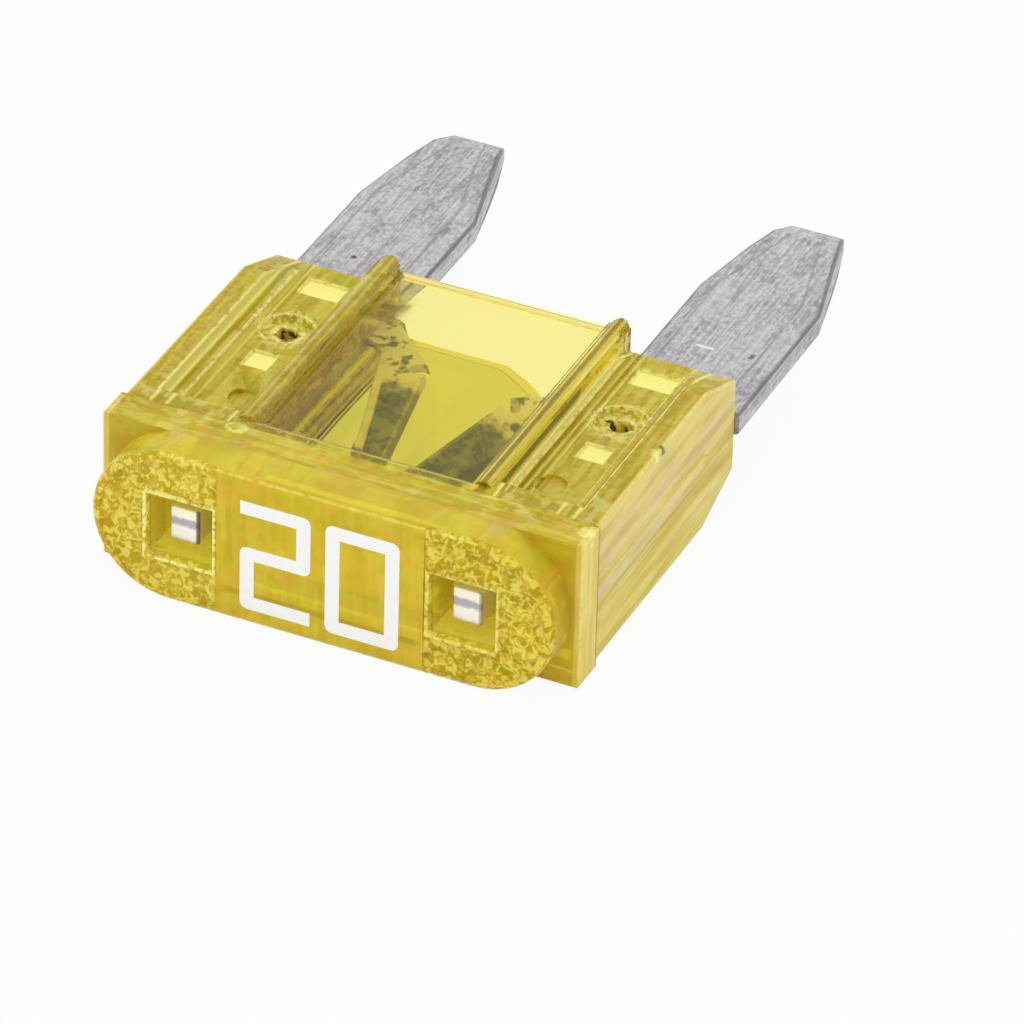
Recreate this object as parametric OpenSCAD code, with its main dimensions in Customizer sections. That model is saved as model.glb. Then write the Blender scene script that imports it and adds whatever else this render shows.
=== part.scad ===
// Mini blade fuse, lying on its broad face: a clear moulded housing and the
// stamped zinc element that slides into it from the blade end.
// X runs across the blades, Y from the head to the blade tips, Z through the thickness.

/* [Overall] */
// Length from the head's face to the blade tips
fuse_len = 16.3; // [15.5:0.1:17.5]
// Width of the flange, with the blades' outer edges flush with it
body_w = 10.9; // [10.7:0.1:11.5]
// Length of the housing's posts, from the head's face to their rear ends
post_len = 8.85; // [8.5:0.05:9.4]
// Circle smoothness
$fn = 48; // [32:8:96]

/* [Head] */
// Thickness of the head, across the broad faces
head_t = 3.6; // [3.5:0.05:3.8]
// Width of the round-ended head
head_w = 10.5; // [10:0.1:10.6]
// How far the head stands proud of the flange
head_h = 0.95; // [0.8:0.05:1.2]
// Rounding of the head's front edge
head_round = 0.18; // [0.05:0.01:0.3]
// Depth of the textured fields beside the figures
field_depth = 0.05; // [0.02:0.01:0.1]
// Width of the smooth panel that carries the figures
figure_panel_w = 4.7; // [4.2:0.1:4.8]
// Rim left round each textured field
field_rim = 0.2; // [0.2:0.02:0.5]
// Rim left between a field and its test opening
opening_rim = 0.08; // [0.06:0.02:0.3]

/* [Flange and posts] */
// Thickness of the flange behind the head
flange_t = 3.5; // [3.4:0.02:3.5]
// Length of the flange along the fuse
flange_h = 0.83; // [0.6:0.01:1]
// How far the posts' sides stand in from the flange
post_inset = 0.08; // [0.02:0.01:0.15]
// Thickness of the posts over their outer strips
post_t = 3.4; // [3.3:0.02:3.4]
// Width of the outer strip left along each post
strip_w = 0.55; // [0.45:0.05:0.7]
// Length of the slope at the posts' rear ends
slope_l = 1.55; // [1:0.05:2]
// Width of the shallow step round each post's panel
step_w = 0.34; // [0.2:0.01:0.4]
// Depth of that step below the ribs' crowns
step_drop = 0.4; // [0.35:0.01:0.5]
// Depth of the post panels below the ribs' crowns
panel_drop = 0.7; // [0.6:0.02:0.8]
// Where the post panels begin, from the head's face
panel_start = 2.35; // [2.1:0.05:2.8]
// Height of the seam ridge along the posts' sides
seam_h = 0.34; // [0.2:0.02:0.5]
// How far the seam ridge stands out of the posts' sides
seam_out = 0.04; // [0.02:0.01:0.06]

/* [Ribs and window] */
// Width of the ribs beside the window
rib_w = 0.5; // [0.4:0.02:0.6]
// How far the ribs run past the posts' rear ends
rib_over = 0.12; // [0.05:0.01:0.2]
// Width of the link chamber inside the window
chamber_w = 4.86; // [4.7:0.02:5]
// Height of the link chamber
chamber_t = 2.2; // [2:0.05:2.3]
// Where the link chamber begins, from the head's face
chamber_start = 2.05; // [1.95:0.05:2.1]
// Corner radius at the chamber's closed end
chamber_r = 0.35; // [0.2:0.05:0.6]
// How deep the window's clear wall lies below the ribs' crowns
window_drop = 0.24; // [0.15:0.01:0.3]
// Where the window's recess begins, from the head's face
window_start = 2.1; // [2:0.05:2.4]

/* [Blades] */
// Width of each blade
blade_w = 2.8; // [2.6:0.05:3]
// Thickness of the blades
blade_t = 0.8; // [0.7:0.02:0.9]
// Length of each blade's taper
taper_l = 3.16; // [2:0.02:3.6]
// Width of the blade tips
tip_w = 1.22; // [1:0.02:1.6]
// Thickness left at the blade tips
tip_t = 0.34; // [0.2:0.02:0.5]
// Length of the thickness bevel at the tips
tip_bevel_l = 0.7; // [0.4:0.05:1.2]
// Width of the bevel along each blade's long edges
edge_bevel_w = 0.42; // [0.2:0.02:0.5]
// Depth of that bevel on each face
edge_bevel_d = 0.16; // [0.08:0.01:0.25]

/* [Terminals and link] */
// Wall left between the terminals and the posts' sides
side_wall = 0.52; // [0.45:0.01:0.6]
// Clearance round the metal in its slots
slot_gap = 0.05; // [0.03:0.01:0.08]
// Width of the test tips seen in the head
test_w = 0.65; // [0.5:0.05:0.8]
// How far the test tips stand in from the blades' centre lines
test_shift = 0.84; // [0.76:0.02:0.92]
// Depth of the test tips below the head's face
test_depth = 0.28; // [0.2:0.02:0.5]
// Width of each test opening
test_open_w = 1.5; // [1.3:0.05:1.6]
// Height of each test opening
test_open_t = 1.5; // [1.3:0.05:1.7]
// Depth of the test openings
test_open_d = 1.25; // [1:0.05:1.4]
// Where the terminals' full width begins, from the head's face
terminal_start = 2.5; // [2.4:0.05:2.8]
// Corner cut off the terminals' front ends
terminal_corner = 0.36; // [0.2:0.02:0.5]
// Thickness of the link, milled thinner than the blades
link_t = 0.36; // [0.25:0.01:0.4]
// How far the link's middle lies below the terminals' middle
link_drop = 0.2; // [0:0.02:0.2]
// Half width of the opening between the link's legs at its arch
arch_in_r = 0.3; // [0.2:0.02:0.35]
// Where that opening's round end is centred, from the head's face
arch_pos = 3.25; // [3.1:0.05:3.5]
// Width of the link at the top of its arch, where it melts
arch_w = 0.5; // [0.3:0.02:0.6]
// Width of each leg beside the arch
leg_w = 0.82; // [0.6:0.02:0.9]
// Where the legs' inner edges end, from the head's face
leg_end = 6.95; // [6.6:0.05:7.2]
// Opening between the legs at that end, as a share of the gap between the blades
leg_share = 0.38; // [0.34:0.01:0.42]
// Gap left between each leg and its terminal
leg_clear = 0.5; // [0.4:0.02:0.6]
// Where the straps' front edges leave the terminals
strap_pos = 7.4; // [7.1:0.05:7.6]
// Width of the straps at the terminals
strap_w = 0.95; // [0.7:0.05:1.1]
// Corner cut between each strap and its leg
strap_corner = 0.38; // [0.2:0.02:0.4]
// How far the straps run into the terminals' metal
strap_lap = 0.3; // [0.1:0.05:0.5]
// Radius of the relief notch in each leg
notch_r = 0.22; // [0.1:0.01:0.24]

/* [Stakes] */
// Diameter of the stakes that lock the terminals
stake_d = 0.8; // [0.7:0.02:0.9]
// Clearance round a stake in its terminal
stake_gap = 0.05; // [0.03:0.01:0.08]
// How far the stakes stand in from the blades' centre lines
stake_shift = 0.2; // [0.1:0.05:0.35]
// Distance of the stakes from the head's face
stake_y = 6.35; // [6:0.05:6.6]
// Diameter of the punch marks over the stakes
punch_d = 0.5; // [0.4:0.02:0.6]
// Diameter of the punch marks at their bottom
punch_tip_d = 0.36; // [0.2:0.02:0.4]
// Depth of the punch marks
punch_deep = 0.72; // [0.5:0.02:0.8]
// Diameter of the shallow dish round each punch mark
dish_d = 1.12; // [0.9:0.02:1.3]
// Depth of the dish
dish_deep = 0.12; // [0.08:0.01:0.2]
// Length along the fuse of the press marks before and behind the stakes
press_l = 0.58; // [0.4:0.02:0.6]
// Width of the rear press marks; the front ones are square
press_rear_w = 0.9; // [0.7:0.02:1]
// Depth of the press marks
press_deep = 0.1; // [0.05:0.01:0.15]
// Distance of the front press marks from the stakes
press_front_gap = 1.3; // [1.2:0.02:1.4]
// Distance of the rear press marks from the stakes
press_rear_gap = 1.7; // [1.5:0.02:1.7]
// Diameter of the ejector marks near the head
ejector_d = 0.7; // [0.5:0.05:0.8]
// Distance of the ejector marks from the head's face
ejector_y = 3.6; // [3.5:0.05:3.8]

/* [Hidden] */
eps = 0.01;
past = 1;
mid_z = head_t / 2;
half_w = body_w / 2;
post_half_w = half_w - post_inset;
blade_x = half_w - blade_w / 2;
blade_in_x = half_w - blade_w;
leg_in_x = leg_share * blade_in_x;
leg_out_x = blade_in_x - leg_clear;
terminal_out_x = post_half_w - side_wall - slot_gap;
slot_t = blade_t + 2 * slot_gap;
window_t = head_t - 2 * window_drop;
panel_t = head_t - 2 * panel_drop;
step_t = head_t - 2 * step_drop;
rib_x = chamber_w / 2;
panel_in_x = rib_x + rib_w;
panel_out_x = post_half_w - strip_w;
panel_edge = step_w / 2;
test_x = blade_x - test_shift;
stake_x = blade_x - stake_shift;
ejector_x = stake_x - step_w;
flange_end = head_h + flange_h;
crown_r = rib_w / 2;

// Puts +Z of a shape along the fuse, with its +Y through the thickness
module along_y(y = 0) translate([0, y, 0]) rotate([-90, 0, 0]) children();

// Repeats a shape on the left and right of the centre line
module both_sides() { children(); mirror([1, 0, 0]) children(); }

// Repeats a shape on the upper and lower broad face
module both_faces() { children(); mirror([0, 0, 1]) children(); }

// A box from x0 to x1 and y0 to y1, t thick about the middle plane
module slab(x0, x1, y0, y1, t) translate([x0, y0, -t / 2]) cube([x1 - x0, y1 - y0, t]);

// Points on an arc, for outlines
function arc(c, r, a0, a1, n = 8) =
    [for (i = [0:n]) let (a = a0 + (a1 - a0) * i / n) [c[0] + r * cos(a), c[1] + r * sin(a)]];

// Half of the head's section, from its own axis out to its rounded edge
module head_section() {
    r = head_t / 2;
    polygon(concat(
        [[0, 0]],
        arc([r - head_round, head_round], head_round, -90, 0, 6),
        [[r, head_h + eps], [0, head_h + eps]]
    ));
}

// The round-ended head, its front edge softened all the way round
module head() {
    span = head_w - head_t;
    both_sides() translate([span / 2, 0, 0]) along_y() rotate([0, 0, -90])
        rotate_extrude(angle = 180) head_section();
    translate([-span / 2, 0, 0]) rotate([90, 0, 90]) linear_extrude(span)
        both_faces_2d() rotate([0, 0, 90]) mirror([0, 1, 0]) head_section();
}

module both_faces_2d() { children(); mirror([0, 1, 0]) children(); }

// One textured field: the head's end, inset by its rim, as far as the figure panel
module field() {
    r = head_t / 2 - field_rim;
    end_x = (head_w - head_t) / 2;
    along_y(-eps) linear_extrude(field_depth + eps) difference() {
        polygon(concat([[figure_panel_w / 2, -r]], arc([end_x, 0], r, -90, 90, 24),
            [[figure_panel_w / 2, r]]));
        translate([test_x, 0]) square([test_open_w, test_open_t] + 2 * opening_rim * [1, 1], true);
    }
}

// The body behind the flange, before its recesses are cut
module body_block() {
    slab(-half_w, half_w, head_h, flange_end, flange_t);
    slab(-post_half_w, post_half_w, flange_end - eps, post_len, post_t);
    both_sides() slab(post_half_w - eps, post_half_w + seam_out, flange_end - eps,
        post_len - slope_l, seam_h);
}

// One rib beside the window, its crown and rear end rounded
module rib() {
    top = head_t / 2;
    end = post_len + rib_over;
    intersection() {
        along_y(window_start) linear_extrude(end - window_start) polygon(concat(
            [[rib_x, 0]], arc([rib_x + crown_r, crown_r - top], crown_r, 180, 360, 8),
            [[rib_x + rib_w, 0]]));
        translate([0, 0, -eps]) linear_extrude(top + 2 * eps) polygon(concat(
            [[rib_x, window_start], [rib_x + rib_w, window_start]],
            arc([rib_x + crown_r, end - crown_r], crown_r, 0, 180, 8)));
    }
}

// The stepped panel sunk in one face of one post
module post_panel() {
    top = head_t;
    translate([panel_in_x, panel_start, step_t / 2])
        cube([panel_out_x - panel_in_x, post_len, top]);
    translate([panel_in_x + panel_edge, panel_start + step_w, panel_t / 2])
        cube([panel_out_x - step_w - panel_in_x - panel_edge, post_len, top]);
}

// The slope that thins the post's rear end down to its panel
module rear_slope() {
    translate([panel_in_x, 0, 0]) rotate([90, 0, 90]) linear_extrude(half_w) polygon([
        [post_len - slope_l, post_t / 2], [post_len + eps, panel_t / 2],
        [post_len + eps, head_t], [post_len - slope_l, head_t]]);
}

// The recess over the window's clear wall
module window_recess()
    translate([-rib_x, window_start, window_t / 2]) cube([chamber_w, post_len, head_t]);

// The link chamber, open at the blade end
module chamber() {
    x = chamber_w / 2;
    translate([0, 0, -chamber_t / 2]) linear_extrude(chamber_t) polygon(concat(
        arc([-x + chamber_r, chamber_start + chamber_r], chamber_r, 180, 270),
        arc([x - chamber_r, chamber_start + chamber_r], chamber_r, 270, 360),
        [[x, post_len + past], [-x, post_len + past]]));
}

// The slot for one terminal and the channel for its test tip
module terminal_slot() {
    slab(0, terminal_out_x + slot_gap, terminal_start - slot_gap, post_len + past, slot_t);
    slab(test_x - test_w / 2 - slot_gap, test_x + test_w / 2 + slot_gap,
        test_open_d - eps, terminal_start, slot_t);
    slab(test_x - test_open_w / 2, test_x + test_open_w / 2, -past, test_open_d, test_open_t);
}

// One press mark, w wide, its middle y behind the stake
module press(w, y) translate([-w / 2, y - press_l / 2, -press_deep]) cube([w, press_l, past]);

// What is pressed or marked into one panel: the punch mark in its dish, and the smaller marks
module panel_marks() {
    translate([stake_x, stake_y, panel_t / 2]) {
        translate([0, 0, -punch_deep]) cylinder(d1 = punch_tip_d, d2 = punch_d, h = punch_deep + eps);
        translate([0, 0, -dish_deep]) cylinder(d = dish_d, h = past);
        press(press_l, -press_front_gap);
        press(press_rear_w, press_rear_gap);
    }
    translate([ejector_x, ejector_y, panel_t / 2 - press_deep]) cylinder(d = ejector_d, h = past);
}

// The stake that is pressed through the hole in one terminal
module stake() translate([stake_x, stake_y, 0]) cylinder(d = stake_d, h = slot_t + 2 * eps, center = true);

module housing() color([0.86, 0.77, 0.2, 0.55]) translate([0, -fuse_len / 2, mid_z])
    difference() {
        union() {
            difference() {
                union() { head(); body_block(); both_sides() both_faces() rib(); }
                chamber();
                both_faces() window_recess();
                both_sides() { terminal_slot(); field(); }
                both_sides() both_faces() { post_panel(); rear_slope(); }
            }
            both_sides() stake();
        }
        both_sides() both_faces() panel_marks();
    }

// Plan outline of one terminal with its blade and test tip
module terminal_plan() {
    corner = terminal_corner;
    polygon([
        [test_x - test_w / 2, test_depth], [test_x + test_w / 2, test_depth],
        [test_x + test_w / 2, terminal_start], [terminal_out_x - corner, terminal_start],
        [terminal_out_x, terminal_start + corner], [terminal_out_x, post_len + slot_gap],
        [half_w, post_len + slot_gap], [half_w, fuse_len - taper_l],
        [blade_x + tip_w / 2, fuse_len], [blade_x - tip_w / 2, fuse_len],
        [blade_in_x, fuse_len - taper_l], [blade_in_x, terminal_start + corner],
        [blade_in_x + corner, terminal_start], [test_x - test_w / 2, terminal_start]
    ]);
}

// Side view of one terminal, bevelled in thickness at its tip
module terminal_side()
    polygon([
        [0, -blade_t / 2], [fuse_len - tip_bevel_l, -blade_t / 2], [fuse_len + eps, -tip_t / 2],
        [fuse_len + eps, tip_t / 2], [fuse_len - tip_bevel_l, blade_t / 2], [0, blade_t / 2]
    ]);

// The wedge that bevels one long edge of a blade outside the housing
module edge_wedge(x, way) {
    translate([x, post_len, 0]) scale([way, 1, 1]) rotate([-90, 0, 0]) linear_extrude(fuse_len)
        polygon([[-edge_bevel_w, -blade_t / 2], [eps, -blade_t / 2 + edge_bevel_d], [eps, -blade_t],
            [-edge_bevel_w, -blade_t]]);
}

module terminal() difference() {
    intersection() {
        translate([0, 0, -blade_t / 2]) linear_extrude(blade_t) terminal_plan();
        rotate([90, 0, 90]) linear_extrude(body_w) terminal_side();
    }
    both_faces() { edge_wedge(half_w, 1); edge_wedge(blade_in_x, -1); }
    translate([stake_x, stake_y, 0])
        cylinder(d = stake_d + 2 * stake_gap, h = blade_t + past, center = true);
}

// Right half of the link in plan: half the arch, one leg and its strap to the terminal
module link_half_plan() {
    outer_top = arch_pos - arch_in_r - arch_w;
    out_r = arch_in_r + leg_w;
    lap = blade_in_x + strap_lap;
    difference() {
        polygon(concat(
            [[0, arch_pos - arch_in_r], [0, outer_top]],
            arc([0, outer_top + out_r], out_r, -90, 0, 10),
            [[leg_out_x, strap_pos - strap_corner], [leg_out_x + strap_corner, strap_pos],
             [lap, strap_pos], [lap, strap_pos + strap_w],
             [blade_in_x - strap_corner, strap_pos + strap_w], [leg_in_x, leg_end]],
            arc([0, arch_pos], arch_in_r, 0, -90, 8)));
        translate([leg_in_x + notch_r / 2, leg_end - notch_r]) circle(r = notch_r);
    }
}

module link()
    translate([0, 0, -link_t / 2 - link_drop]) linear_extrude(link_t) both_sides() link_half_plan();

module fuse_element() color([0.72, 0.71, 0.72]) translate([0, -fuse_len / 2, mid_z]) {
    both_sides() terminal();
    link();
}

housing();
fuse_element();
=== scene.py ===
import math

import bmesh
import bpy
from mathutils import Euler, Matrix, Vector, noise


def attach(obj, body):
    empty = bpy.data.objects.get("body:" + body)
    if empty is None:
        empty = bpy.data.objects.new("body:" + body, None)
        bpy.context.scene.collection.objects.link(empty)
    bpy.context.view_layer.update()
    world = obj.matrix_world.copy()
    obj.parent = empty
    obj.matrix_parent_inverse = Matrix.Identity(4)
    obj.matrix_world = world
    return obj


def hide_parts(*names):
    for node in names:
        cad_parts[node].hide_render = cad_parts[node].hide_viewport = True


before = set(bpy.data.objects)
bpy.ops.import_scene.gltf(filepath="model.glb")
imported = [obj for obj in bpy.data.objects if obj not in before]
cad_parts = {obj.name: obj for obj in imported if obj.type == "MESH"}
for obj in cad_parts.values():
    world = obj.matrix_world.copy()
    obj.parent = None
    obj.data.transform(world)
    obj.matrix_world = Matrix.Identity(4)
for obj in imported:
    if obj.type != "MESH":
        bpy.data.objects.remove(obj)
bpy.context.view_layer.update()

# ---- Camera ----
# A long lens looks down on the head and the upper broad face, from the front right.
MM = 0.001
VIEW_AIM = Vector((2.579, -4.361, 1.8)) * MM
VIEW_TURN = Euler([math.radians(angle) for angle in (55.71, -1.35, 25.0)], "XYZ")
VIEW_DISTANCE = 185.95 * MM
LENS_MM = 316.9
SENSOR_MM = 36.0
NEAR_CLIP = 10 * MM
scene = bpy.context.scene
lens = bpy.data.cameras.new("view")
lens.lens, lens.sensor_width, lens.clip_start = LENS_MM, SENSOR_MM, NEAR_CLIP
camera = bpy.data.objects.new("view", lens)
camera.rotation_euler = VIEW_TURN
camera.location = VIEW_AIM + VIEW_TURN.to_matrix() @ Vector((0, 0, VIEW_DISTANCE))
scene.collection.objects.link(camera)
scene.camera = camera
scene.view_settings.view_transform = "Standard"


# ---- Studio ----
# A white table top under an even white room, with one large soft lamp from the
# front left and a smaller one behind. The table keeps the fuse's faint shadow.
class Wire:
    """One output of a finish's node, which adds its Math nodes when it is reckoned with."""

    def __init__(self, finish, socket):
        self.finish, self.socket = finish, socket

    def maths(self, operation, *terms):
        return self.finish.node("Math", {"operation": operation}, dict(enumerate(terms)))

    def __add__(self, other):
        return self.maths("ADD", self, other)

    __radd__ = __add__

    def __sub__(self, other):
        return self.maths("SUBTRACT", self, other)

    def __rsub__(self, other):
        return self.maths("SUBTRACT", other, self)

    def __mul__(self, other):
        return self.maths("MULTIPLY", self, other)

    __rmul__ = __mul__

    def __abs__(self):
        return self.maths("ABSOLUTE", self)

    def at_most_one(self):
        return self.maths("MINIMUM", self, 1)

    def step(self, level, soft, low, high):
        """Low below the level and high above it, with a soft step between."""
        return self.finish.node("MapRange", {"interpolation_type": "SMOOTHSTEP"}, {
            "Value": self, "From Min": level - soft, "From Max": level + soft,
            "To Min": low, "To Max": high})

    def above(self, level, soft):
        return self.step(level, soft, 0.0, 1.0)

    def below(self, level, soft):
        return self.step(level, soft, 1.0, 0.0)

    def near(self, level, half, soft):
        """1 within half of the level on either side, and 0 beyond."""
        return abs(self - level).below(half, soft)


class Finish:
    """The nodes of a material or of the room's light, built one by one."""

    def __init__(self, owner):
        owner.use_nodes = True
        self.tree = owner.node_tree
        self.tree.nodes.clear()
        self.place = None

    def node(self, kind, settings=None, sockets=None, out=0):
        """Adds a node of a kind, with its settings, then its sockets' values or wires."""
        made = self.tree.nodes.new("ShaderNode" + kind)
        for key, value in (settings or {}).items():
            setattr(made, key, value)
        for key, value in (sockets or {}).items():
            if isinstance(value, Wire):
                self.tree.links.new(value.socket, made.inputs[key])
            elif isinstance(value, tuple) and made.inputs[key].type == "RGBA":
                made.inputs[key].default_value = (*value, 1)
            else:
                made.inputs[key].default_value = value
        return Wire(self, made.outputs[out])

    def spot(self):
        """The place on the piece, as a vector and as x, y and z in millimetres."""
        if self.place is None:
            here = self.node("TexCoord", out="Object")
            here = self.node("VectorMath", {"operation": "SCALE"}, {0: here, "Scale": 1 / MM})
            axes = [self.node("SeparateXYZ", None, {0: here}, out) for out in "XYZ"]
            self.place = (here, *axes)
        return self.place

    def grain(self, size, stretch, detail, rough, seed, curl=0.0):
        """Noise whose lumps are about size millimetres across, stretched along the axes."""
        here = self.node("Mapping", None, {
            "Vector": self.spot()[0], "Location": (seed, seed, seed),
            "Scale": tuple(1 / s for s in stretch)})
        return self.node("TexNoise", None, {
            "Vector": here, "Scale": 1 / size, "Detail": detail, "Roughness": rough,
            "Distortion": curl})

    def blend(self, share, one, two):
        """Colour one where the share is 0 and two where it is 1."""
        return self.node("Mix", {"data_type": "RGBA"}, {0: share, 6: one, 7: two}, out=2)

    def coats(self, colour, *rows):
        """The colour under coats of paint, each a row of its share and its own colour."""
        for share, paint in rows:
            colour = self.blend(share, colour, paint)
        return colour

    def ray(self, kind):
        return self.node("LightPath", out=f"Is {kind} Ray")

    def seen_directly(self):
        """1 for rays from the camera, from gloss and through clear parts, and 0 for light."""
        return (self.ray("Camera") + self.ray("Glossy") + self.ray("Transmission")).at_most_one()

    def end(self, surface, volume=None, kind="OutputMaterial"):
        output = self.tree.nodes.new("ShaderNode" + kind)
        self.tree.links.new(surface.socket, output.inputs["Surface"])
        if volume:
            self.tree.links.new(volume.socket, output.inputs["Volume"])


ROOM_LIGHT = 0.95
WHITE = (1.0, 1.0, 1.0)
room = bpy.data.worlds.new("room")
scene.world = room
room_light = Finish(room)
strength = ROOM_LIGHT + room_light.seen_directly() * (1 - ROOM_LIGHT)
room_light.end(room_light.node("Background", None, {"Color": WHITE, "Strength": strength}),
               kind="OutputWorld")

TABLE_WHITE = (0.9, 0.9, 0.9)
TABLE_GLOW_SHARE = 0.93
TABLE_SIZE = 2.0
TABLE_LEVEL = -0.01 * MM
bpy.ops.object.select_all(action="DESELECT")
bpy.ops.mesh.primitive_plane_add(size=TABLE_SIZE, location=(0, 0, TABLE_LEVEL))
table = bpy.context.object
table.name = "table"
table_material = bpy.data.materials.new("table_white")
table_material.cycles.emission_sampling = "NONE"
table_white = Finish(table_material)
matt = table_white.node("BsdfDiffuse", None, {"Color": TABLE_WHITE})
glow = table_white.node("Emission", None, {"Color": WHITE, "Strength": 1.0})
table_white.end(table_white.node("MixShader", None, {
    0: table_white.seen_directly() * TABLE_GLOW_SHARE, 1: matt, 2: glow}))
table.data.materials.append(table_material)

# name, power in watts, width, and place in metres
LAMPS = (("key", 0.03, 0.12, (-0.12, -0.10, 0.20)), ("back", 0.012, 0.06, (0.10, 0.14, 0.12)))
for name, power, width, place in LAMPS:
    light = bpy.data.lights.new(name, "AREA")
    light.energy, light.size = power, width
    lamp = bpy.data.objects.new(name, light)
    lamp.location = place
    lamp.rotation_euler = Vector(place).to_track_quat("Z", "Y").to_euler()
    scene.collection.objects.link(lamp)

# ---- Housing ----
# One clear yellow moulding: head, flange, ribbed posts and the window's two walls. Its
# long edges leave the mould slightly round, and the head's end fields are spark-textured.
SOFT_EDGE = 0.05 * MM
LEAST_EDGE = 0.03 * MM
SHORTEST_EDGE = 0.3 * MM
EDGE_SEGMENTS = 3
ROOM_SHARE = 0.4
SHARP = math.radians(25)
FLAT = math.radians(3)
SMOOTH = math.radians(32)
WELD = 0.001 * MM


def room_beside(edge, face):
    """How far the face runs from one of its edges before the next sharp edge."""
    start = edge.verts[0].co
    along = (edge.verts[1].co - start).normalized()
    length = edge.calc_length()
    nearest = 1.0
    for other in face.edges:
        if other is edge or other.calc_face_angle(0) < SHARP:
            continue
        shared = [v for v in other.verts if v in edge.verts]
        ends = [v.co for v in other.verts]
        points = ([other.other_vert(shared[0]).co] if shared
                  else [ends[0].lerp(ends[1], step / 6) for step in range(7)])
        for point in points:
            reach = (point - start).dot(along)
            if -SOFT_EDGE < reach < length + SOFT_EDGE:
                away = (point - start - along * reach).length
                if away > WELD:
                    nearest = min(nearest, away)
    return nearest


def only_active(piece):
    bpy.ops.object.select_all(action="DESELECT")
    bpy.context.view_layer.objects.active = piece
    piece.select_set(True)


def softened(node, name, radius, shortest):
    """A merged copy of a CAD node with its long edges rounded where there is room."""
    piece = bpy.data.objects.new(name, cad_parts[node].data.copy())
    piece.data.name = name
    scene.collection.objects.link(piece)
    only_active(piece)
    bpy.ops.object.mode_set(mode="EDIT")
    bpy.ops.mesh.select_all(action="SELECT")
    bpy.ops.mesh.remove_doubles(threshold=WELD)
    bpy.ops.mesh.dissolve_limited(angle_limit=FLAT)
    bpy.ops.object.mode_set(mode="OBJECT")
    mesh = bmesh.new()
    mesh.from_mesh(piece.data)
    weight = mesh.edges.layers.float.new("bevel_weight_edge")
    for edge in mesh.edges:
        if edge.calc_face_angle(0) < SHARP or edge.calc_length() < shortest:
            continue
        room_here = min(room_beside(edge, face) for face in edge.link_faces)
        width = min(radius, ROOM_SHARE * room_here)
        if width >= LEAST_EDGE:
            edge[weight] = width / radius
    mesh.to_mesh(piece.data)
    mesh.free()
    # a second, empty material slot marks the rounded faces until they are noted
    piece.data.materials.clear()
    for _ in range(2):
        piece.data.materials.append(None)
    bevel = piece.modifiers.new("soft_edges", "BEVEL")
    bevel.width, bevel.segments, bevel.limit_method = radius, EDGE_SEGMENTS, "WEIGHT"
    bevel.use_clamp_overlap, bevel.material = False, 1
    bpy.ops.object.modifier_apply(modifier=bevel.name)
    rounded_faces = piece.data.attributes.new("rounded", "FLOAT", "FACE")
    for face, mark in zip(piece.data.polygons, rounded_faces.data):
        mark.value = face.material_index
        face.material_index = 0
    piece.data.materials.clear()
    return piece


def smoothed(piece):
    """Shades curves smooth and keeps the flats flat up to their edges."""
    only_active(piece)
    bpy.ops.object.shade_smooth_by_angle(angle=SMOOTH)
    flats = piece.modifiers.new("flat_faces", "WEIGHTED_NORMAL")
    flats.keep_sharp = True
    bpy.ops.object.modifier_apply(modifier=flats.name)


housing = softened("housing", "housing_moulding", SOFT_EDGE, SHORTEST_EDGE)

# The fields' floors are cut into a fine grid and roughened as a sparked mould leaves them.
HEAD_FACE = -8.15 * MM
FIELD_FLOOR = -8.10 * MM
FIELD_IN_X = 2.35 * MM
FIELD_OUT_X = 5.06 * MM
HEAD_THICK = 3.6 * MM
GRIT_PITCH = 0.085 * MM
GRIT_DEPTH = 0.042 * MM
GRIT_GAIN = 2.2
GRIT_SIZES = ((0.26 * MM, 0.75), (0.13 * MM, 0.45))
ALONG_X, ALONG_Z = (1, 0, 0), (0, 0, 1)


def on_field(face):
    return face.normal.y < -0.9 and abs(face.calc_center_median().y - FIELD_FLOOR) < WELD * 5


def choose(mesh, wanted):
    """Selects the faces that are wanted and nothing else."""
    for part in (mesh.verts, mesh.edges, mesh.faces):
        for item in part:
            item.select = False
    for face in mesh.faces:
        face.select_set(wanted(face))


only_active(housing)
bpy.ops.object.mode_set(mode="EDIT")
mesh = bmesh.from_edit_mesh(housing.data)
choose(mesh, on_field)
bmesh.update_edit_mesh(housing.data)
bpy.ops.mesh.quads_convert_to_tris()
cuts = []
for side in (-1, 1):
    for step in range(int((FIELD_OUT_X - FIELD_IN_X) / GRIT_PITCH)):
        cuts.append(((side * (FIELD_IN_X + (step + 0.5) * GRIT_PITCH), 0, 0), ALONG_X))
for step in range(int(HEAD_THICK / GRIT_PITCH)):
    cuts.append(((0, 0, (step + 0.5) * GRIT_PITCH), ALONG_Z))
for place, facing in cuts:
    mesh = bmesh.from_edit_mesh(housing.data)
    choose(mesh, on_field)
    bmesh.update_edit_mesh(housing.data)
    bpy.ops.mesh.bisect(plane_co=place, plane_no=facing)
mesh = bmesh.from_edit_mesh(housing.data)
grit = mesh.verts.layers.float.new("grit")
field_faces = {face for face in mesh.faces if on_field(face)}
corners = {corner for face in field_faces for corner in face.verts}
for corner in corners:
    if all(face in field_faces for face in corner.link_faces):
        lump = sum(share * noise.noise(corner.co / size) for size, share in GRIT_SIZES)
        corner[grit] = max(-1, min(1, GRIT_GAIN * lump))
        corner.co.y = FIELD_FLOOR - GRIT_DEPTH * corner[grit]
bmesh.update_edit_mesh(housing.data)
bpy.ops.object.mode_set(mode="OBJECT")
smoothed(housing)

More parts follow.
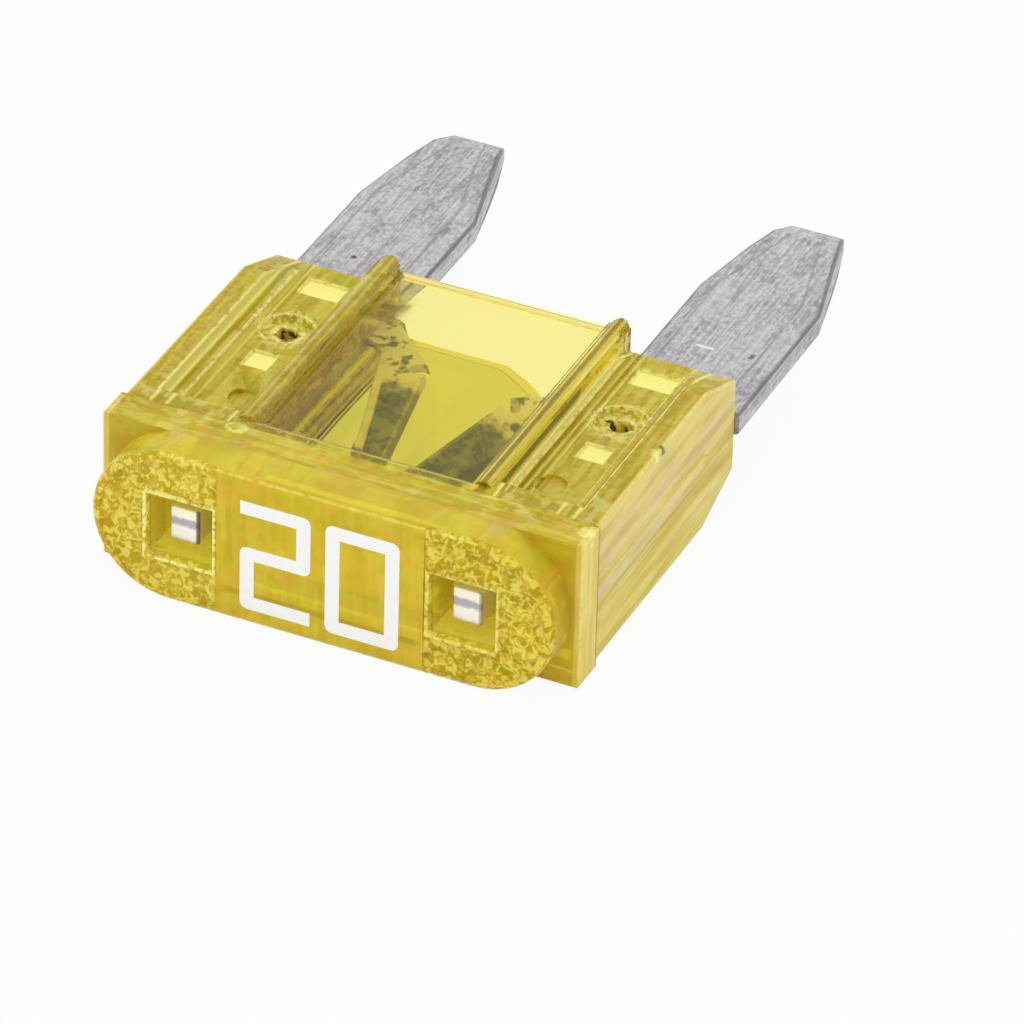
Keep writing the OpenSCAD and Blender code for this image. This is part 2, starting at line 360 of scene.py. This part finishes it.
# The plastic is clearest in the window's thin walls and cloudier in the thick head and
# posts. It is pale yellow by itself, and deeper the further light runs through it.
# From here on, every place and width on the moulding is in millimetres.
AXIS_Z = 1.8
WINDOW_HALF = 2.5
WINDOW_FRONT = -6.05
WINDOW_REAR = 0.67
FLANGE_FRONT = -7.2
FLANGE_REAR = -6.36
OPENING_X = 3.21
MARK_X = 3.85
PUNCH_Y = -1.80
SIDE_X = 5.3
yellow_material = bpy.data.materials.new("clear_yellow_plastic")
yellow = Finish(yellow_material)
_, x, y, z = yellow.spot()
across, height = abs(x), abs(z - AXIS_Z)
right_side = x.above(0, 0.1)
top_face = z.above(AXIS_Z + 1.5, 0.02)
blotch = yellow.grain(0.7, (0.7, 1.6, 0.8), 2.0, 0.6, 0.0)
speck = yellow.grain(0.16, (1, 1, 1), 1.0, 0.6, 4.0)
streak = yellow.grain(0.13, (1, 14, 1), 1.0, 0.5, 9.0)
cross_streak = yellow.grain(0.12, (14, 1, 1), 1.0, 0.5, 12.0)
upright = yellow.grain(0.14, (1, 1, 12), 1.0, 0.5, 18.0)
warm = yellow.grain(0.45, (1.6, 1, 1), 2.0, 0.65, 15.0)
sparked = yellow.grain(0.19, (1, 1, 1), 1.0, 0.6, 21.0, 1.2)
lumpy = yellow.grain(0.33, (1.3, 1, 1), 2.0, 0.6, 27.0)
broad = yellow.grain(0.26, (1, 11, 1), 1.0, 0.55, 33.0)
ripple = yellow.grain(0.4, (1, 1.5, 1), 1.0, 0.5, 6.0)
rounded = yellow.node("Attribute", {"attribute_name": "rounded"}, out="Fac")
lump = yellow.node("Attribute", {"attribute_name": "grit"}, out="Fac")

# where each part of the moulding is
window = across.below(WINDOW_HALF, 0.05) * y.above(WINDOW_FRONT, 0.05)
rear_ends = across.below(2.36, 0.06) * y.above(WINDOW_REAR, 0.01) * height.above(1.0, 0.02)
rear_line = (y.near(WINDOW_REAR, 0.035, 0.015) * across.below(2.4, 0.03)
             * height.above(1.3, 0.02))
head_front = y.below(-8.0, 0.05)
head_ends = across.above(4.72, 0.25) * y.below(-7.25, 0.1)
end_fields = (across + 0.25 * (warm - 0.5)).above(2.38, 0.05) * y.below(-7.98, 0.04)
openings = (across.near(OPENING_X, 0.77, 0.02) * height.below(0.77, 0.02)
            * y.near(-7.5, 0.6, 0.02))
band = y.near(-6.65, 0.55, 0.05) * height.above(1.5, 0.1)
collar = y.below(FLANGE_REAR, 0.03) * (1 - head_front)
flange_front = y.near(FLANGE_FRONT, 0.08, 0.03) * (1 - head_front)
side_walls = across.above(SIDE_X, 0.03)
posts = across.above(2.95, 0.02) * y.above(-6.3, 0.05) * (1 - side_walls)
strips = across.above(4.8, 0.03) * posts
# painted highlight lines along the posts' step edges
edge_highlights = (across.near(4.80, 0.045, 0.03) + across.near(4.44, 0.04, 0.03)
              + across.near(3.02, 0.03, 0.02)) * posts * height.above(0.9, 0.05)
# painted shade lines beside the posts' steps
step_shade = (across.near(4.67, 0.05, 0.04) + across.near(3.14, 0.03, 0.03)) * posts

# the ribs' fine lengthwise lines, as painted highlight and painted shade lines, which are fainter
# on the left
rib_zone = across.near(2.86, 0.46, 0.04) * y.above(-6.0, 0.1) * height.above(0.9, 0.05)
rib_tops = rib_zone * height.above(1.5, 0.06) * right_side
groove = across + 0.5 * height
groove = groove.maths("PINGPONG", groove, 0.085)
rib_lit = groove.above(0.058, 0.012) * rib_zone * (0.45 + 0.55 * right_side)
rib_shade = groove.below(0.024, 0.012) * rib_zone * (0.45 + 0.55 * right_side)


def plate(mid_x, mid_y, half_x, half_y):
    """The same small rectangle on each post, on both broad faces."""
    return across.near(mid_x, half_x, 0.03) * y.near(mid_y, half_y, 0.03) * height.above(0.9, 0.02)


def ring(mid_x, mid_y, sideways=across):
    """How far a place is from the middle of a slightly ragged round mark."""
    away = (sideways - mid_x) * (sideways - mid_x) + (y - mid_y) * (y - mid_y)
    return away.maths("SQRT", away) + 0.3 * (speck - 0.5) + 0.2 * (blotch - 0.5)


# painted highlight and painted glow on two small plates on each post
lit_plates = plate(MARK_X, -0.10, 0.45, 0.29) + plate(MARK_X, -3.10, 0.29, 0.29)
punch_away = ring(MARK_X, PUNCH_Y)
# painted shade: the stake dimple's dark hollow
punched = punch_away.below(0.22, 0.03) * height.above(0.3, 0.05) * height.below(1.02, 0.04)
# painted highlight rings around the stake dimple
punch_rim_glints = (punch_away.near(0.33, 0.05, 0.03) + punch_away.near(0.58, 0.03, 0.02)
              ) * posts * height.above(0.7, 0.03)
front_lumps = y.near(-5.95, 0.75, 0.2) * across.above(2.9, 0.1) * height.above(0.9, 0.05)
jumbled = (front_lumps + rib_zone * (1 - right_side) + band * 0.4).at_most_one()
warm_share = warm.above(0.54, 0.08) * (1 - window) * (0.45 - 0.15 * posts)
low_shadow = z.near(0.76, 0.08, 0.05) * across.below(2.2, 0.1) * head_front

# what is painted over the whole moulding, as shares and colours
tone = yellow.coats(
    yellow.blend(blotch.above(0.48, 0.12), (0.60, 0.50, 0.01), (1.0, 0.92, 0.09)),
    (posts * 0.5, (0.96, 0.86, 0.06)),
    (collar * 0.65, (0.86, 0.69, 0.04)),
    (rib_zone * 0.45, (0.74, 0.56, 0.01)),
    (rib_tops * 0.75, (0.56, 0.38, 0.004)),
    (flange_front * right_side * 0.55, (0.90, 0.56, 0.03)),
    (strips * 0.75, (0.76, 0.54, 0.01)),
    # flow lines and specks, light and dark
    (speck.above(0.56, 0.08) * posts * 0.45, (1.0, 0.94, 0.22)),
    (speck.below(0.42, 0.06) * posts * 0.35, (0.36, 0.28, 0.004)),
    (streak.below(0.44, 0.07) * posts * 0.45, (0.46, 0.33, 0.005)),
    (streak.above(0.57, 0.06) * posts * 0.5, (1.0, 0.90, 0.20)),
    (cross_streak.below(0.43, 0.06) * band * 0.5, (0.50, 0.38, 0.01)),
    (cross_streak.above(0.57, 0.06) * band * 0.5, (1.0, 0.86, 0.18)),
    # painted sparkle highlights and dark lumps on the posts' front, the left rib and the band
    (lumpy.above(0.56, 0.04) * jumbled * 0.75, (1.0, 0.97, 0.32)),
    (lumpy.below(0.43, 0.04) * jumbled * 0.6, (0.42, 0.33, 0.008)),
    # the head, deeper and more orange at its round ends
    (head_front * 0.8, (0.70, 0.52, 0.03)),
    (head_ends * 0.6, (0.88, 0.56, 0.03)),
    # orange and green clouds all over, and the head's upright flow lines
    (warm_share, (0.90, 0.50, 0.05)),
    (warm.below(0.43, 0.06) * (1 - head_front) * 0.32, (0.68, 0.72, 0.02)),
    (upright.above(0.56, 0.1) * head_front * 0.16, (0.92, 0.78, 0.12)),
    (upright.below(0.42, 0.1) * head_front * 0.12, (0.50, 0.38, 0.01)),
    # painted shade: dark lines beside the steps and ribs, and a painted shadow of the element low
    # on the head's panel
    ((step_shade * 0.6 + rib_shade * 0.85).at_most_one(), (0.42, 0.29, 0.005)),
    (low_shadow * 0.5, (0.42, 0.27, 0.008)),
    (openings * 0.65, (1.0, 0.88, 0.10)))

# painted light and shade: the openings' square rims are lit on the face, with a painted shade line
# inside; the chamber's front wall shows as a ragged painted shade line, with a painted highlight
# line behind the flange
square = abs(across - OPENING_X)
square = square.maths("MAXIMUM", square, height)
rim_lit = square.near(0.81, 0.04, 0.02) * y.below(-8.06, 0.02)
rim_shade = square.near(0.745, 0.02, 0.02) * y.near(-8.0, 0.09, 0.03)
over_chamber = across.below(2.45, 0.05) * height.above(1.5, 0.1)
wall_shade = (y + 0.1 * (speck - 0.5)).near(-6.21, 0.07, 0.03) * speck.below(0.56, 0.1)
tone = yellow.coats(
    tone,
    (rim_shade * 0.7, (0.42, 0.30, 0.006)),
    (wall_shade * over_chamber * 0.75, (0.22, 0.24, 0.02)),
    (y.near(-6.08, 0.035, 0.02) * over_chamber * 0.6, (0.92, 0.95, 0.40)))

# the fields' sparked grain, with painted shade in its pits and painted highlights on its lumps
grainy = end_fields + openings * 0.45
shaded_pits = (sparked.below(0.45, 0.05) * grainy * 0.75 + lump.below(-0.3, 0.3) * 0.35).at_most_one()
lit_peaks = (sparked.above(0.55, 0.05) * grainy * 0.8 + lump.above(0.35, 0.3) * 0.35).at_most_one()
tone = yellow.coats(
    tone,
    (shaded_pits * (0.6 + 0.2 * right_side), (0.42, 0.28, 0.004)),
    (lit_peaks * (0.95 - 0.15 * right_side), (1.0, 0.88, 0.16)))

# the side walls' bands along the fuse: the drafted half above the seam painted lighter and the one
# below painted darker, as painted light and shade
level = z + 0.35 * (blotch - 0.5)
reach = y.near(-3.0, 2.9, 0.5)
side = yellow.coats(
    yellow.blend(level.above(1.7, 0.12), (0.79, 0.58, 0.03), (0.94, 0.74, 0.16)),
    (level.below(0.75, 0.12) * 0.9, (0.87, 0.71, 0.06)),
    (level.near(2.45, 0.25, 0.12) * 0.7, (0.93, 0.70, 0.34)),
    (broad.above(0.56, 0.08) * 0.45, (1.0, 0.89, 0.38)),
    (broad.below(0.43, 0.08) * 0.4, (0.58, 0.39, 0.03)),
    (streak.above(0.58, 0.06) * 0.3, (1.0, 0.92, 0.50)),
    # the flange's end, with upright lines and a painted shade line in the corner behind it
    (collar, (0.76, 0.58, 0.10)),
    (collar * upright.above(0.5, 0.1) * 0.6, (0.92, 0.80, 0.26)),
    (y.near(-6.39, 0.045, 0.02) * 0.9, (0.30, 0.21, 0.01)),
    # painted shade below the seam ridge and a painted highlight along its top
    (z.near(1.47, 0.03, 0.03) * reach * 0.6, (0.42, 0.28, 0.02)),
    (z.near(1.98, 0.03, 0.03) * reach * 0.7, (1.0, 0.92, 0.42)))

# painted highlights: lit edges, rib lines, opening rims, plates, punch rims, glints around the
# punches and at the flange's corners; then painted dark spots
lit_edges = (rounded * (0.35 + 0.45 * posts) * speck.above(0.4, 0.2) + edge_highlights * 0.8
             + rib_lit * 0.65 + rim_lit * speck.above(0.45, 0.08) * (0.95 - 0.6 * right_side))
punch_glints = (punch_away.below(0.75, 0.1) * posts * height.above(0.9, 0.03)
           * speck.above(0.52, 0.05))
spot_glints = (ring(5.29, -3.38, x).below(0.10, 0.05) + ring(5.25, -6.70, x).below(0.17, 0.06)
         + ring(-2.74, -6.44, x).near(0.17, 0.05, 0.05)) * top_face
glints = (lit_edges + lit_plates * 0.9 + punch_rim_glints * 0.6 + punch_glints * 0.6
          + spot_glints * 0.7).at_most_one()
# painted shade: dark spots in the stake dimples, beside a flange highlight and by the right punch
dark_spots = (punched + ring(5.34, -3.10, x).below(0.07, 0.04) * top_face * 0.8
         + ring(3.72, -1.74, x).near(0.12, 0.07, 0.03) * y.near(-1.74, 0.06, 0.03) * posts)

# painted shade at the window's rear left corner, a brown patch as if the left blade's root showed
# through, with a painted highlight line beside it
slanted = x - 0.35 * y + 0.5 * (blotch - 0.5)
lengthwise = (y + 0.6 * (lumpy - 0.5)).near(-0.82, 0.50, 0.18) * z.above(AXIS_Z + 1.3, 0.02)
corner_shade = slanted.near(-1.70, 0.38, 0.16) * lengthwise
corner_shade_line = slanted.near(-1.20, 0.03, 0.03) * lengthwise * 0.6
brown = yellow.blend(lumpy.above(0.55, 0.12), (0.15, 0.09, 0.004), (0.36, 0.27, 0.02))

# the chamber's side walls, painted with the brown shade and light of the posts seen through them
chamber_sides = across.near(2.43, 0.07, 0.02) * height.below(1.07, 0.03) * y.above(-6.0, 0.05)
posts_behind = yellow.blend(lumpy.above(0.5, 0.08), (0.40, 0.24, 0.01), (0.86, 0.60, 0.05))
tone = yellow.coats(
    tone,
    (side_walls * 0.85, side),
    (glints, (1.0, 0.95, 0.30)),
    (dark_spots.at_most_one() * 0.95, (0.05, 0.03, 0.004)),
    # painted glow on the rear end faces over a darker base, for light coming through from behind
    (rear_ends * 0.8, (0.45, 0.38, 0.12)),
    (rear_line * 0.9, (0.34, 0.30, 0.06)),
    (corner_shade, brown),
    (corner_shade_line, (0.9, 0.85, 0.45)),
    (chamber_sides, posts_behind))

wave = yellow.node("Bump", None, {
    "Strength": 0.3, "Distance": 0.02 * MM, "Height": ripple * across.above(WINDOW_HALF, 0.05)})
SHINE_TINT = (1.0, 0.90, 0.30)
PLASTIC_IOR = 1.5
glass_tint = yellow.coats(
    (1.0, 0.97, 0.50),
    (window, (0.99, 0.93, 0.70)),
    (window * z.below(AXIS_Z, 0.2), (0.70, 0.69, 0.25)))
clear = yellow.node("BsdfPrincipled", None, {
    "Base Color": glass_tint, "Roughness": 0.04, "IOR": PLASTIC_IOR,
    "Transmission Weight": 1.0, "Specular Tint": SHINE_TINT, "Normal": wave})
# painted glow in the openings, on the rear end faces and on the small plates, though no lamp is
# there
painted_glow = yellow.coats(
    (0.0, 0.0, 0.0),
    (openings, (0.42, 0.34, 0.02)),
    (rear_ends, (1.75, 1.6, 0.92)),
    (lit_plates, (0.58, 0.54, 0.20)))
cloudy = yellow.node("BsdfPrincipled", None, {
    "Base Color": tone, "Roughness": 0.3, "IOR": PLASTIC_IOR, "Specular IOR Level": 0.12,
    "Specular Tint": SHINE_TINT, "Normal": wave,
    "Emission Color": painted_glow, "Emission Strength": 0.45})
cloud = 0.36 + head_front * 0.48 + collar * 0.22 + side_walls * 0.36 + posts * 0.14
cloud = cloud * (1 - window) + rear_line * 0.6
cloud = cloud + (corner_shade + corner_shade_line) * 0.65 + chamber_sides * 0.55
cloud = (cloud * (1 - 0.2 * openings) + glints * 0.3 + dark_spots * 0.6
         + rear_ends * 0.7).at_most_one()
plastic = yellow.node("MixShader", None, {0: cloud, 1: clear, 2: cloudy})

# light reaches what lies behind the plastic through a thin yellow veil
veil = yellow.node("BsdfTransparent", None, {"Color": (0.96, 0.9, 0.5)})
yellow.end(
    yellow.node("MixShader", None, {0: yellow.ray("Shadow"), 1: plastic, 2: veil}),
    yellow.node("VolumeAbsorption", None, {"Color": (0.97, 0.935, 0.08), "Density": 1700.0}))
housing.data.materials.append(yellow_material)
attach(housing, "root")
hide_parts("housing")

# ---- Fuse element ----
# One zinc stamping: blades, terminals and test tips, with the link between them milled
# thinner. It slides into the housing from behind and is locked by the pressed stakes.
ELEMENT_EDGE = 0.045 * MM
ELEMENT_SHORTEST = 0.5 * MM
element = softened("fuse_element", "element_stamping", ELEMENT_EDGE, ELEMENT_SHORTEST)
smoothed(element)
BLADE_X = 4.05
BLADE_HALF = 1.4
TAPER_START = 4.99
TAPER_SLOPE = 0.79 / 3.16
POST_REAR = 0.70
LINK_HALF = 2.64
zinc_material = bpy.data.materials.new("stamped_zinc")
zinc = Finish(zinc_material)
_, x, y, z = zinc.spot()
across = abs(x)
past_start = y - TAPER_START
past_start = past_start.maths("MAXIMUM", past_start, 0)
inset = BLADE_HALF - past_start * TAPER_SLOPE - abs(across - BLADE_X)
on_face = abs(z - AXIS_Z).above(0.2, 0.02)
outside = y.above(POST_REAR + 0.02, 0.05)
fine = zinc.grain(0.10, (1, 1.6, 1), 2.0, 0.65, 0.0)
patches = zinc.grain(0.8, (0.8, 1.8, 1), 2.0, 0.6, 3.0)
scratch = zinc.grain(0.06, (1, 22, 1), 1.0, 0.5, 7.0)
pocks = zinc.grain(0.22, (1, 1.8, 1), 1.0, 0.5, 11.0)
milled = zinc.grain(0.45, (1, 1.3, 1), 3.0, 0.62, 5.0)


def dab(mid_x, mid_y, half_x, half_y):
    """A small scuff on the blades' broad faces."""
    return x.near(mid_x, half_x, 0.04) * y.near(mid_y, half_y, 0.04) * on_face


grey = zinc.coats(
    zinc.blend(fine.above(0.5, 0.12), (0.40, 0.39, 0.40), (0.62, 0.60, 0.605)),
    (pocks.below(0.36, 0.04) * 0.6, (0.24, 0.225, 0.25)),
    (patches.above(0.52, 0.12) * 0.45, (0.62, 0.60, 0.62)),
    (patches.below(0.42, 0.08) * 0.35, (0.34, 0.33, 0.36)),
    (scratch.above(0.61, 0.05) * 0.3, (0.78, 0.77, 0.79)),
    (scratch.below(0.39, 0.05) * 0.35, (0.22, 0.215, 0.225)),
    # painted shade: the blades' dark outline along their rolled edges, and a dark line where their
    # bevel starts
    (inset.below(0.06, 0.03) * outside * on_face * 0.8, (0.16, 0.155, 0.16)),
    (inset.near(0.42, 0.03, 0.02) * outside * 0.5, (0.28, 0.275, 0.28)),
    # one pit, one dark and one bright scuff
    (dab(-4.30, 2.35, 0.06, 0.06) * 0.9, (0.03, 0.03, 0.03)),
    (dab(4.88, 2.67, 0.05, 0.09) * 0.8, (0.07, 0.07, 0.07)),
    (dab(3.84, 2.57, 0.20, 0.03) * 0.9, WHITE))

# the link, in painted shade and light: its legs painted dark olive as shade, and its arch painted
# bright as lit, with dark blotches
link_part = across.below(LINK_HALF - 0.02, 0.04) * y.below(0.4, 0.05)
rear_share = (y + 1.2 * (milled - 0.5)).above(-2.2, 0.4)
shaded_leg_grey = zinc.blend(fine.above(0.5, 0.08), (0.03, 0.045, 0.003), (0.13, 0.155, 0.02))
shaded_leg_grey = zinc.blend(milled.above(0.55, 0.06), shaded_leg_grey, (0.24, 0.26, 0.06))
lit_arch_grey = zinc.blend(milled.above(0.44, 0.06), (0.12, 0.15, 0.05), (1.0, 1.0, 0.80))
link_rounded = zinc.node("Attribute", {"attribute_name": "rounded"}, out="Fac")

# how far a place lies from the legs' slanted outer and inner edges
from_outer = 0.958 * across - 0.286 * y - 2.383
from_inner = 0.982 * across - 0.188 * y - 1.216
# painted highlight lines along the legs' edges
leg_highlights = (from_outer.near(-0.09, 0.10, 0.03) * x.below(0, 0.05)
             + 0.25 * from_inner.near(0.04, 0.04, 0.03))
leg_highlights = leg_highlights * y.near(-2.9, 1.9, 0.1) * (0.45 + milled)
link_grey = zinc.coats(
    zinc.blend(rear_share, shaded_leg_grey, lit_arch_grey),
    # painted highlights on the arch's rounded edges, and painted shade low on the legs
    (link_rounded * rear_share * 0.7, (0.85, 0.85, 0.60)),
    (z.below(1.74, 0.02) * (1 - rear_share) * 0.8, (0.10, 0.11, 0.012)),
    (leg_highlights.at_most_one(), (1.0, 1.0, 0.72)))

# the test tips, in painted light and shade: a bright highlighted top, a duller band, a darker
# lower half, and a painted shade line at one side of each
tip_level = z + 0.12 * (fine - 0.5)
tip = zinc.coats(
    zinc.blend(tip_level.above(1.78, 0.05), (1.0, 0.96, 0.84), (0.50, 0.47, 0.50)),
    (tip_level.above(1.97, 0.04), (1.0, 0.95, 0.78)),
    (tip_level.below(1.47, 0.04) * 0.6, (0.50, 0.48, 0.44)),
    (x.near(-2.91, 0.035, 0.02) * 0.85, (0.12, 0.10, 0.04)),
    (x.near(3.51, 0.035, 0.02) * 0.6, (0.30, 0.30, 0.20)))
in_posts = y.below(POST_REAR - 0.02, 0.03) * across.above(LINK_HALF + 0.02, 0.03)
grey = zinc.coats(
    grey,
    (link_part, link_grey),
    (in_posts * 0.8, (0.93, 0.91, 0.84)),
    (y.below(-7.8, 0.02), tip))
dents = zinc.node("Bump", None, {"Strength": 0.3, "Distance": 0.01 * MM, "Height": fine})
zinc.end(zinc.node("BsdfPrincipled", None, {
    "Base Color": grey, "Metallic": 0.75 - 0.55 * link_part, "Roughness": 0.42 + 0.2 * fine,
    "Normal": dents}))
element.data.materials.append(zinc_material)
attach(element, "root")
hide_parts("fuse_element")

# ---- Printed figures ----
# The current in amperes, pad-printed in white ink on the head's smooth middle panel.
# Each figure is cut on the grid of its strokes, and its outer corners are rounded.
STROKE = 0.32
FIGURE_LOW, FIGURE_HIGH = 0.40, 3.05
MIDDLE_BAR = (1.62, 1.93)
LEVELS = (FIGURE_LOW + STROKE, *MIDDLE_BAR, FIGURE_HIGH - STROKE)
INK_THICK = 0.012 * MM
CORNER = 0.17 * MM
CORNER_SEGMENTS = 4
# each figure's left and right side, and its ink row by row from the bottom
FIGURES = {
    "figure_two": (-1.80, -0.20, ("###", "#..", "###", "..#", "###")),
    "figure_nought": (0.14, 1.81, ("###", "#.#", "#.#", "#.#", "###")),
}


def cell_of(face, columns):
    """The row and column of the strokes' grid that a face of a figure lies in."""
    middle = face.calc_center_median()
    return (sum(middle.z > level * MM for level in LEVELS),
            sum(middle.x > column * MM for column in columns))


def outer_corner(vertex):
    """Whether two strokes meet at the vertex, and not the square end of one stroke."""
    cells = vertex.link_faces
    return len(cells) == 1 and sum(len(edge.link_faces) == 2 for edge in cells[0].edges) == 2


ink_material = bpy.data.materials.new("white_ink")
ink = Finish(ink_material)
fleck = ink.grain(0.2, (1, 1, 1), 2.0, 0.5, 1.0)
ink.end(ink.node("BsdfPrincipled", None, {
    "Base Color": ink.blend(fleck.above(0.5, 0.2), (0.98, 0.98, 0.97), WHITE),
    "Roughness": 0.35, "Normal": ink.node("Bump", None, {
        "Strength": 0.2, "Distance": 0.005 * MM, "Height": fleck})}))
for name, (left, right, rows) in FIGURES.items():
    bpy.ops.object.select_all(action="DESELECT")
    bpy.ops.mesh.primitive_plane_add(size=1, rotation=(math.radians(90), 0, 0), location=(
        (left + right) / 2 * MM, HEAD_FACE - INK_THICK, (FIGURE_LOW + FIGURE_HIGH) / 2 * MM))
    figure = bpy.context.object
    figure.name = figure.data.name = name
    figure.scale = ((right - left) * MM, (FIGURE_HIGH - FIGURE_LOW) * MM, 1)
    bpy.ops.object.transform_apply(location=True, rotation=True, scale=True)
    bpy.ops.object.mode_set(mode="EDIT")
    columns = (left + STROKE, right - STROKE)
    cuts = [((column * MM, 0, 0), ALONG_X) for column in columns]
    cuts += [((0, 0, level * MM), ALONG_Z) for level in LEVELS]
    for place, facing in cuts:
        bpy.ops.mesh.select_all(action="SELECT")
        bpy.ops.mesh.bisect(plane_co=place, plane_no=facing)
    mesh = bmesh.from_edit_mesh(figure.data)
    bare = set()
    for face in mesh.faces:
        row, column = cell_of(face, columns)
        if rows[row][column] == ".":
            bare.add(face)
    choose(mesh, bare.__contains__)
    bmesh.update_edit_mesh(figure.data)
    bpy.ops.mesh.delete(type="FACE")
    mesh = bmesh.from_edit_mesh(figure.data)
    for vertex in mesh.verts:
        vertex.select = outer_corner(vertex)
    mesh.select_flush(False)
    bmesh.update_edit_mesh(figure.data)
    bpy.ops.mesh.bevel(affect="VERTICES", offset=CORNER, segments=CORNER_SEGMENTS)
    bpy.ops.object.mode_set(mode="OBJECT")
    thick = figure.modifiers.new("ink", "SOLIDIFY")
    thick.thickness, thick.offset = INK_THICK, -1
    bpy.ops.object.modifier_apply(modifier=thick.name)
    figure.data.materials.append(ink_material)
    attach(figure, "root")
